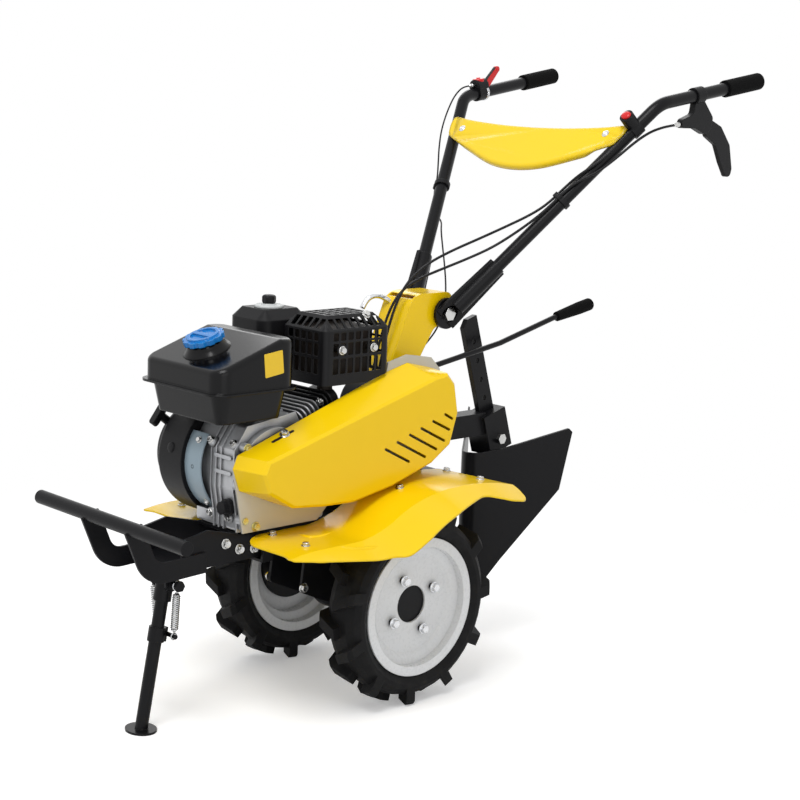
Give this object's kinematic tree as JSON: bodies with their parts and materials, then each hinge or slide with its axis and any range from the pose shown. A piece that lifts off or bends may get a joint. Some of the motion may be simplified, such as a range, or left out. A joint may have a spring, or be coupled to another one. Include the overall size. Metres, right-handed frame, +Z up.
{
  "type": "power tiller",
  "caption": "Two-wheeled walk-behind power tiller with an open engine, belt cover, fenders, folding handlebar, prop stand and a rear furrower on a depth bar.",
  "frame": {"origin": "on the floor under the middle of the whole footprint", "axes": "+X to the machine's left, +Y to its rear, where the operator walks, +Z up"},
  "size_m": [0.59, 1.3939, 1.1748],
  "materials": {
    "black_frame": "satin",
    "black_paint": "satin",
    "cast_aluminium": "sand cast",
    "black_plastic": "fine texture",
    "shield_grey": "satin",
    "black_gloss": "gloss",
    "cap_blue": "gloss",
    "light_grey": "satin",
    "dark_steel": "heat darkened",
    "guard_black": "satin",
    "plate_silver": "satin",
    "yellow_paint": "gloss",
    "zinc_steel": "zinc plated",
    "grip_rubber": "foam",
    "rim_white": "gloss",
    "tyre_rubber": "matt",
    "cable_sheath": "satin",
    "spring_steel": "bare"
  },
  "bodies": {
    "chassis": {"gear_case": "black_frame", "chassis_beam": "black_frame", "front_bumper": "black_frame", "stand_bracket": "black_frame", "crankcase": "cast_aluminium", "cylinder_head": "cast_aluminium", "crankcase_cover": "cast_aluminium", "oil_filler": "black_plastic", "fan_shroud": "black_plastic", "recoil_starter": "black_plastic", "side_shield": "shield_grey", "fuel_tank": "black_gloss", "fuel_cap": "cap_blue", "air_cleaner": "black_plastic", "air_cleaner_knob": "light_grey", "carburettor": "cast_aluminium", "muffler": "dark_steel", "muffler_guard": "guard_black", "back_plate": "plate_silver", "belt_cover": "yellow_paint", "fender_left": "yellow_paint", "fender_right": "yellow_paint", "fender_bracket_front": "black_frame", "fender_bracket_rear": "black_frame", "handle_column": "yellow_paint", "pivot_bolt": "zinc_steel", "gear_lever": "black_paint", "gear_lever_grip": "grip_rubber", "hitch": "black_frame", "hitch_screw": "zinc_steel"},
    "wheels": {"wheel_axle": "zinc_steel", "rim_left": "rim_white", "rim_right": "rim_white", "tyre_left": "tyre_rubber", "tyre_right": "tyre_rubber"},
    "handlebar": {"handle_arm_left": "black_paint", "handle_arm_right": "black_paint", "grip_left": "grip_rubber", "grip_right": "grip_rubber", "handle_panel": "yellow_paint", "clutch_lever": "black_plastic", "throttle_control": "black_plastic", "stop_switch": "black_plastic", "cable_clips": "black_plastic", "throttle_cable": "cable_sheath", "clutch_cable": "cable_sheath", "switch_wire": "cable_sheath"},
    "stand": {"stand_leg": "black_paint", "stand_springs": "spring_steel"},
    "ridger": {"depth_bar": "black_paint", "furrower": "black_paint"}
  },
  "joints": [
    {"name": "wheel_spin", "type": "hinge", "parent": "chassis", "child": "wheels", "pos_m": [0, -0.14, 0.185], "axis": [1, 0, 0], "continuous": true},
    {"name": "handlebar_height", "type": "hinge", "parent": "chassis", "child": "handlebar", "pos_m": [0, 0.055, 0.697], "axis": [1, 0, 0], "range_deg": [-20, 25], "deforming": ["throttle_cable", "clutch_cable", "switch_wire"]},
    {"name": "stand_fold", "type": "hinge", "parent": "chassis", "child": "stand", "pos_m": [0, -0.567, 0.262], "axis": [1, 0, 0], "range_deg": [0, 80]},
    {"name": "ridger_depth", "type": "slide", "parent": "chassis", "child": "ridger", "axis": [0, -0.3007, 0.9537], "range_m": [-0.041, 0]}
  ]
}
